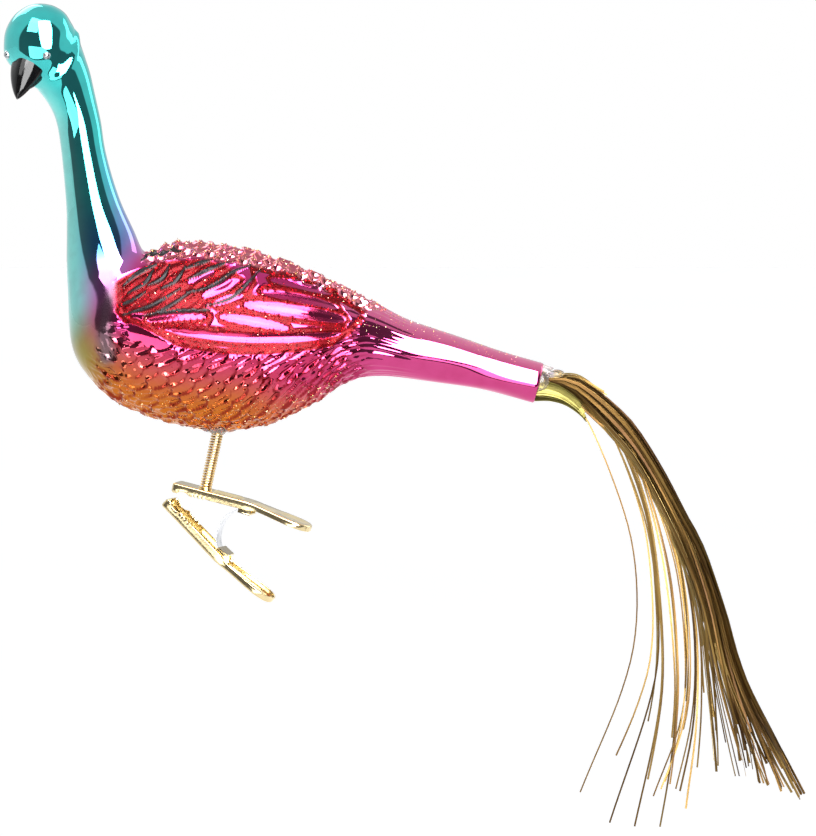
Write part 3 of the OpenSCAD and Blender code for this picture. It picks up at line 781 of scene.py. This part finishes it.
def tail_header(strips=23, points=18):
    """The olive strips of foil that wrap the root of the strands from below."""
    parts, tones = [], []
    centre = smooth_path([[-2, -0.9], [2, -1.1], [6, -2.4], [9.6, -5], [12, -7.8]], points)
    for k in range(strips):
        a = -math.radians(-26 + 232 * k / (strips - 1))
        keep = int(points * rng.uniform(0.86, 1.0))
        radius = np.linspace(3.55, 2.7, points) + rng.uniform(-0.1, 0.1)
        path = np.stack([centre[:, 0] - 0.3 * radius * math.sin(a), radius * math.cos(a),
                         centre[:, 1] + radius * math.sin(a)], 1)
        parts.append(ribbon(path[:keep], 0.85, 0.08, np.full(2, a + math.pi / 2) + rng.normal(0, 0.12, 2)))
        tones.append(np.full(len(parts[-1][0]), rng.uniform(0, 1)))
    verts, faces = joined(parts)
    obj = mesh_object("foil_header", verts, faces, smooth=False)
    attribute(obj, "tone", np.concatenate(tones))
    return obj


# ---- materials ----


class Nodes:
    """Adds and joins the nodes of one tree."""

    def __init__(self, tree):
        self.tree = tree

    def node(self, kind, **values):
        node = self.tree.nodes.new(kind)
        for key, value in values.items():
            setattr(node, key, value)
        return node

    def link(self, out, into):
        self.tree.links.new(out, into)

    def ramp(self, value, stops, interpolation="EASE"):
        node = self.node("ShaderNodeValToRGB")
        node.color_ramp.interpolation = interpolation
        elements = node.color_ramp.elements
        while len(elements) < len(stops):
            elements.new(0.5)
        for element, (at, colour) in zip(elements, stops):
            element.position = at
            element.color = (*colour, 1) if len(colour) == 3 else colour
        self.link(value, node.inputs["Fac"])
        return node.outputs["Color"]

    def mix(self, factor, a, b, kind="MIX"):
        node = self.node("ShaderNodeMix", data_type="RGBA", blend_type=kind)
        colours = [s for s in node.inputs if s.type == "RGBA"]
        for socket, value in zip([node.inputs[0]] + colours, (factor, a, b)):
            if hasattr(value, "is_linked"):
                self.link(value, socket)
            elif socket.type == "RGBA":
                socket.default_value = (*value[:3], 1)
            else:
                socket.default_value = value
        return [s for s in node.outputs if s.type == "RGBA"][0]

    def maths(self, kind, a, b):
        node = self.node("ShaderNodeMath", operation=kind)
        for socket, value in zip(node.inputs, (a, b)):
            if hasattr(value, "is_linked"):
                self.link(value, socket)
            else:
                socket.default_value = value
        return node.outputs[0]


class Shader(Nodes):
    """The nodes of one material."""

    def __init__(self, name):
        self.material = bpy.data.materials.new(name)
        self.material.use_nodes = True
        super().__init__(self.material.node_tree)
        self.bsdf = self.tree.nodes["Principled BSDF"]

    def put(self, **values):
        for key, value in values.items():
            self.bsdf.inputs[key.replace("_", " ")].default_value = value

    def mask(self, name):
        return self.node("ShaderNodeAttribute", attribute_name=name).outputs["Fac"]

    def noise(self, scale, detail=3.0, rough=0.5):
        where = self.node("ShaderNodeTexCoord").outputs["Object"]
        node = self.node("ShaderNodeTexNoise")
        node.inputs["Scale"].default_value = scale
        node.inputs["Detail"].default_value = detail
        node.inputs["Roughness"].default_value = rough
        self.link(where, node.inputs["Vector"])
        return node.outputs["Fac"]

    def into(self, name, out):
        self.link(out, self.bsdf.inputs[name])

    def rough(self, spots, amount, base=0.0):
        value = self.maths("MULTIPLY", self.noise(*spots), amount)
        self.into("Roughness", self.maths("ADD", value, base) if base else value)

    def bump(self, height, strength, distance):
        node = self.node("ShaderNodeBump")
        node.inputs["Strength"].default_value = strength
        node.inputs["Distance"].default_value = distance
        self.link(height, node.inputs["Height"])
        self.into("Normal", node.outputs["Normal"])


TEAL, AQUA, CYAN = (0.06, 0.55, 0.53), (0.22, 0.62, 0.58), (0.10, 0.46, 0.62)
BLUE, VIOLET, MAGENTA = (0.22, 0.28, 0.60), (0.42, 0.15, 0.44), (0.50, 0.04, 0.20)
PINK, GOLD_GREEN, AMBER = (0.52, 0.036, 0.12), (0.24, 0.20, 0.045), (0.50, 0.14, 0.016)
TUBE, TUBE_TOP = (0.54, 0.062, 0.21), (0.74, 0.20, 0.36)


def silvered_glass():
    s = Shader("silvered_glass")
    along, under = s.mask("along"), s.mask("under")
    back = s.ramp(along, [(0.0, TEAL), (0.18, TEAL), (0.23, CYAN), (0.29, BLUE), (0.335, VIOLET),
                          (0.40, MAGENTA), (0.7, MAGENTA), (0.8, TUBE_TOP)])
    front = s.ramp(along, [(0.0, TEAL), (0.22, AQUA), (0.37, AQUA), (0.43, GOLD_GREEN), (0.50, AMBER),
                           (0.62, AMBER), (0.70, PINK), (0.82, TUBE)])
    side = s.ramp(along, [(0.0, TEAL), (0.24, TEAL), (0.31, (0.05, 0.22, 0.46)), (0.37, VIOLET),
                          (0.44, MAGENTA), (0.5, PINK), (0.7, PINK), (0.82, TUBE)])
    to_front = s.ramp(under, [(0.0, (0, 0, 0)), (0.55, (0, 0, 0)), (0.93, (1, 1, 1))])
    to_back = s.ramp(under, [(0.0, (1, 1, 1)), (0.35, (0, 0, 0))])
    colour = s.mix(to_back, side, back)
    colour = s.mix(to_front, colour, front)
    dusted = s.maths("MULTIPLY", s.mask("dust"), s.maths("MULTIPLY", s.noise(900, 2), 0.9))
    colour = s.mix(dusted, colour, (0.45, 0.20, 0.10))
    patchy = s.ramp(s.noise(260, 2), [(0.35, (0, 0, 0)), (0.7, (1, 1, 1))])
    colour = s.mix(s.maths("MULTIPLY", s.mask("low"), 0.75), colour, AMBER)
    colour = s.mix(s.maths("MULTIPLY", patchy, 0.12), colour, (0.62, 0.10, 0.22), "MULTIPLY")
    # painted shade: the scale creases are darkened to dark red
    colour = s.mix(s.maths("MULTIPLY", s.mask("rim"), 0.8), colour, (0.20, 0.004, 0.008))
    colour = s.mix(s.maths("MULTIPLY", s.mask("smoke"), 0.8), colour, (0.12, 0.10, 0.12))
    trail = s.maths("MINIMUM", s.maths("MULTIPLY", s.mask("trail"), 1.5), 1.0)
    colour = s.mix(trail, colour, (0.17, 0.001, 0.005))
    colour = s.mix(s.mask("stroke"), colour, (0.035, 0.033, 0.036))
    s.into("Base Color", colour)
    paint = s.maths("MAXIMUM", s.mask("stroke"), s.maths("MULTIPLY", trail, 0.9))
    s.into("Metallic", s.maths("SUBTRACT", 1.0, s.maths("MULTIPLY", paint, 0.75)))
    rough = s.maths("ADD", s.maths("MULTIPLY", s.noise(900, 4), 0.07), s.maths("MULTIPLY", paint, 0.42))
    s.into("Roughness", s.maths("ADD", rough, s.maths("MULTIPLY", s.mask("smoke"), 0.2)))
    s.put(Coat_Weight=0.05, Coat_Roughness=0.03, Specular_IOR_Level=0.05)
    s.bump(s.noise(170, 3, 0.45), 0.06, 0.0005)
    return s.material


def glitter(name, dark, bright, metal):
    s = Shader(name)
    stops = [(0.0, dark), (0.45, dark), (0.75, bright), (0.93, bright), (1.0, (0.9, 0.35, 0.28))]
    s.into("Base Color", s.ramp(s.mask("tone"), stops))
    s.rough((2500, 1), 0.2, 0.12)
    s.put(Metallic=metal, Specular_IOR_Level=0.2)
    return s.material


def foil(name, stops, spots, shades, streaky, rough, **values):
    """Strips that each have a tone of their own, with darker streaks."""
    s = Shader(name)
    streak = s.ramp(s.noise(*spots), shades)
    s.into("Base Color", s.mix(streaky, s.ramp(s.mask("tone"), stops), streak, "MULTIPLY"))
    s.rough(*rough)
    s.put(**values)
    return s.material


def mottled(name, spots, stops, rough=None, bump=None, **values):
    """An uneven colour, with an uneven roughness and a bump where they are asked for."""
    s = Shader(name)
    s.into("Base Color", s.ramp(s.noise(*spots), stops))
    if rough:
        s.rough(*rough)
    s.put(**values)
    if bump:
        s.bump(s.noise(*bump[0]), *bump[1:])
    return s.material


def gold(name, tint, rough):
    return mottled(name, (240, 4), [(0.3, tuple(0.82 * c for c in tint)), (0.7, tint)],
                   ((1400, 4), 0.16, rough), ((1600, 3), 0.12, 0.0001), Metallic=1.0)


def wear(obj, material, body):
    obj.data.materials.clear()
    obj.data.materials.append(material)
    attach(obj, body)


# ---- assembling ----

bird, skin_points, skin_normals, masks = glass_body()
wear(bird, silvered_glass(), "bird")
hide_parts("glass_body")
red = grains("glitter_red", skin_points, skin_normals, masks["trail"] ** 1.3, 31000, 0.3, 0.22)
wear(red, glitter("red_glitter", (0.06, 0.0, 0.0006), (0.50, 0.002, 0.008), 0.9), "bird")
gold_flakes = grains("glitter_gold", skin_points, skin_normals, masks["gold"], 11000, 0.27, 0.22)
wear(gold_flakes, glitter("gold_glitter", (0.55, 0.33, 0.10), (1.0, 0.84, 0.48), 0.55),
     "bird")

horn = beak()
black = mottled("black_glass", (420, 3), [(0.3, (0.006, 0.006, 0.008)), (0.75, (0.02, 0.018, 0.018))],
                ((700, 3), 0.16), ((300, 2), 0.15, 0.0004),
                Coat_Weight=0.1, Coat_Roughness=0.03, Specular_IOR_Level=0.2)
wear(horn, black, "bird")
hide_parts("beak")
bead = mottled("eye_bead", (900, 2), [(0.3, (0.22, 0.25, 0.27)), (0.7, (0.50, 0.54, 0.56))],
               ((1200, 2), 0.3), Metallic=0.75, Coat_Weight=0.8, Coat_Roughness=0.05)
for eye_name, turn in (("eye_left", EYE_TURN), ("eye_right", -EYE_TURN)):
    ball = eye(eye_name + "_bead", turn)
    wear(ball, bead, "bird")
    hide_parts(eye_name)

glue = mottled("hot_glue", (500, 3), [(0.3, (0.88, 0.78, 0.74)), (0.7, (0.97, 0.94, 0.92))],
               ((800, 2), 0.2, 0.08), ((420, 2), 0.4, 0.0006),
               Transmission_Weight=0.75, IOR=1.45, Subsurface_Weight=0.1)
for lump_name, glue_node, place, voxel, balls in (
        ("belly_lump", "belly_glue", BELLY, 0.22, [
            (-2.4, 0.4, 0.2, 2.0, 2.2, 1.1), (2.6, -0.6, 0.3, 2.2, 2.0, 1.2), (0.4, 2.0, 0.1, 2.2, 1.8, 1.1),
            (0.4, -2.2, 0.2, 2.4, 1.8, 1.2), (0, 0, -0.5, 2.1, 2.0, 1.3), (4.6, 0.8, 0.6, 1.4, 1.6, 0.8)]),
        ("mouth_lump", "tail_glue", MOUTH, 0.25, [
            (-0.8, 0, 0.1, 3.6, 4.1, 4.2), (1.6, 0.4, 2.9, 2.6, 2.6, 1.7), (4.4, -0.6, 2.3, 2.4, 2.2, 1.2),
            (0.6, -2.6, 0.4, 2.4, 1.7, 2.4), (0.8, 2.4, -0.6, 2.2, 1.7, 2.2)])):
    lump = lumps(lump_name, balls, voxel)
    lump.data.transform(Matrix.Translation(Vector(place)))
    wear(lump, glue, "bird")
    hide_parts(glue_node)

strands = tail_strands()
strands.data.materials.append(foil(
    "foil_tinsel", [(0.0, (0.07, 0.032, 0.008)), (0.3, (0.18, 0.098, 0.022)), (0.6, (0.34, 0.22, 0.065)),
                    (1.0, (0.60, 0.48, 0.20))],
    (60, 2), [(0.35, (0.6, 0.55, 0.45)), (0.65, (1, 1, 1))], 0.6, ((600, 2), 0.2, 0.26),
    Metallic=0.4, Specular_IOR_Level=0.1))
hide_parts("tail_bundle", *[f"tail_strand_{i}" for i in range(1, 7)])
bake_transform(strands)
header = tail_header()
header.data.materials.append(foil(
    "olive_foil", [(0.0, (0.20, 0.17, 0.03)), (1.0, (0.34, 0.29, 0.07))],
    (300, 3), [(0.3, (0.6, 0.6, 0.5)), (0.7, (1, 1, 1))], 0.7, ((700, 2), 0.2, 0.2),
    Metallic=0.35, Specular_IOR_Level=0.2))
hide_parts("tail_header")
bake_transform(header)

wire = gold("gold_wire", (0.70, 0.51, 0.23), 0.14)
plate = gold("gold_plate", (0.80, 0.65, 0.36), 0.07)
for coil_name, first, last, bodies, ends in (
        ("coil_lower", 0.0, 0.5, ("clip", "stem"), (COIL_BASE, COIL_MID)),
        ("coil_upper", 0.5, 1.03, ("stem", "bird"), (COIL_MID, COIL_TOP))):
    part = coil(coil_name, first, last)
    part.data.materials.append(wire)
    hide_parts("stem_spring")
    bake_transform(part)
strip, strip_top, strip_low = bow_spring()
strip.data.materials.append(mottled(
    "spring_steel", (500, 3), [(0.3, (0.55, 0.56, 0.58)), (0.7, (0.75, 0.76, 0.78))],
    ((1500, 3), 0.2, 0.12), Metallic=1.0))
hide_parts("clip_bow_spring")
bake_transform(strip)
for jaw_name, body, sign in (("upper_jaw", "clip", 1), ("lower_jaw", "lever", -1)):
    stamping = jaw(jaw_name + "_stamping", sign)
    wear(stamping, plate, body)
    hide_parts("clip_" + jaw_name)
eyelet = frame["nodes"]["stem_eyelet"]  # this CAD node keeps its shape and takes a better material
eyelet.data.materials.clear()
eyelet.data.materials.append(plate)

# ---- stage, light and camera ----


def stage():
    """A plain pale floor, well below the object, that ends a little way in front of it."""
    half_w, near, far, level = 4, -0.66, 7, -0.34
    verts = [(-half_w, near, level), (half_w, near, level), (half_w, far, level), (-half_w, far, level)]
    floor = mesh_object("floor", verts, [(0, 1, 2, 3)], smooth=False)
    floor.data.materials.append(mottled(
        "pale_floor", (3, 2), [(0.2, (0.93, 0.93, 0.935)), (0.8, (0.96, 0.96, 0.965))],
        Roughness=0.9, Emission_Color=(1, 1, 1, 1), Emission_Strength=0.3))


def softbox(name, turn, rise, distance, size, glow, glossy_only=False):
    """A rectangular light: turn is to the right of the front, rise above level, glow its brightness."""
    a, e = math.radians(turn), math.radians(rise)
    middle = Vector(BELLY + MM * np.array([20, 0, 25]))
    place = middle + distance * Vector((math.sin(a) * math.cos(e), -math.cos(a) * math.cos(e), math.sin(e)))
    light = bpy.data.lights.new(name, "AREA")
    light.shape, light.size, light.size_y = "RECTANGLE", size[0], size[1]
    light.energy = glow * math.pi * size[0] * size[1]
    obj = bpy.data.objects.new(name, light)
    obj.location = place
    obj.rotation_euler = (middle - place).to_track_quat("-Z", "Y").to_euler()
    obj.visible_camera = False
    obj.visible_diffuse = not glossy_only
    bpy.context.scene.collection.objects.link(obj)


def world():
    """A pale surround with a dark room at the front and a dimmer strip at the back; white to the camera."""
    surround = bpy.data.worlds.new("studio")
    bpy.context.scene.world = surround
    surround.use_nodes = True
    n = Nodes(surround.node_tree)

    def stepped(value, low, high, down, up):
        node = n.node("ShaderNodeMapRange", interpolation_type="SMOOTHSTEP")
        for key, number in (("From Min", low), ("From Max", high), ("To Min", down), ("To Max", up)):
            node.inputs[key].default_value = number
        n.link(value, node.inputs["Value"])
        return node.outputs[0]

    split = n.node("ShaderNodeSeparateXYZ")
    n.link(n.node("ShaderNodeTexCoord").outputs["Generated"], split.inputs[0])
    _, y, z = split.outputs
    dark = n.maths("MULTIPLY", stepped(y, -0.38, -0.30, 1.0, 0.0), stepped(z, 0.80, 0.86, 1.0, 0.0))
    shade = n.maths("MAXIMUM", dark, stepped(y, 0.93, 0.99, 0.0, 0.55))
    grey = n.ramp(shade, [(0, (0.92, 0.93, 0.94)), (1, (0.17, 0.17, 0.18))], "LINEAR")
    background = n.tree.nodes["Background"]
    seen = n.mix(n.node("ShaderNodeLightPath").outputs["Is Camera Ray"], grey, (1, 1, 1))
    n.link(seen, background.inputs["Color"])
    background.inputs["Strength"].default_value = 1.0


def camera():
    """Level with the photograph's view: side on, four degrees above, with a long lens."""
    elevation, distance, lens = math.radians(4), 2.903, 500
    aim = BELLY + MM * np.array([47.4, 0, 2.7])
    data = bpy.data.cameras.new("camera")
    data.lens, data.sensor_width = lens, 36
    data.clip_start, data.clip_end = 0.05, 20
    obj = bpy.data.objects.new("camera", data)
    back = np.array([0, -math.cos(elevation), math.sin(elevation)])
    obj.location = Vector(aim + back * distance)
    obj.rotation_euler = Vector(-back).to_track_quat("-Z", "Y").to_euler()
    bpy.context.scene.collection.objects.link(obj)
    bpy.context.scene.camera = obj


stage()
world()
softbox("front_box", 13, 30, 1.5, (1.0, 2.3), 21, True)
softbox("low_card", -15, -16.5, 1.5, (1.35, 0.5), 3.6, True)
softbox("left_box", -34, 52, 1.4, (0.75, 0.9), 6, True)
softbox("right_strip", 118, 20, 1.5, (0.5, 1.2), 2)
softbox("back_box", 205, 38, 1.6, (0.9, 0.9), 3)
camera()
scene = bpy.context.scene
scene.view_settings.view_transform = "Standard"
scene.view_settings.look = "None"
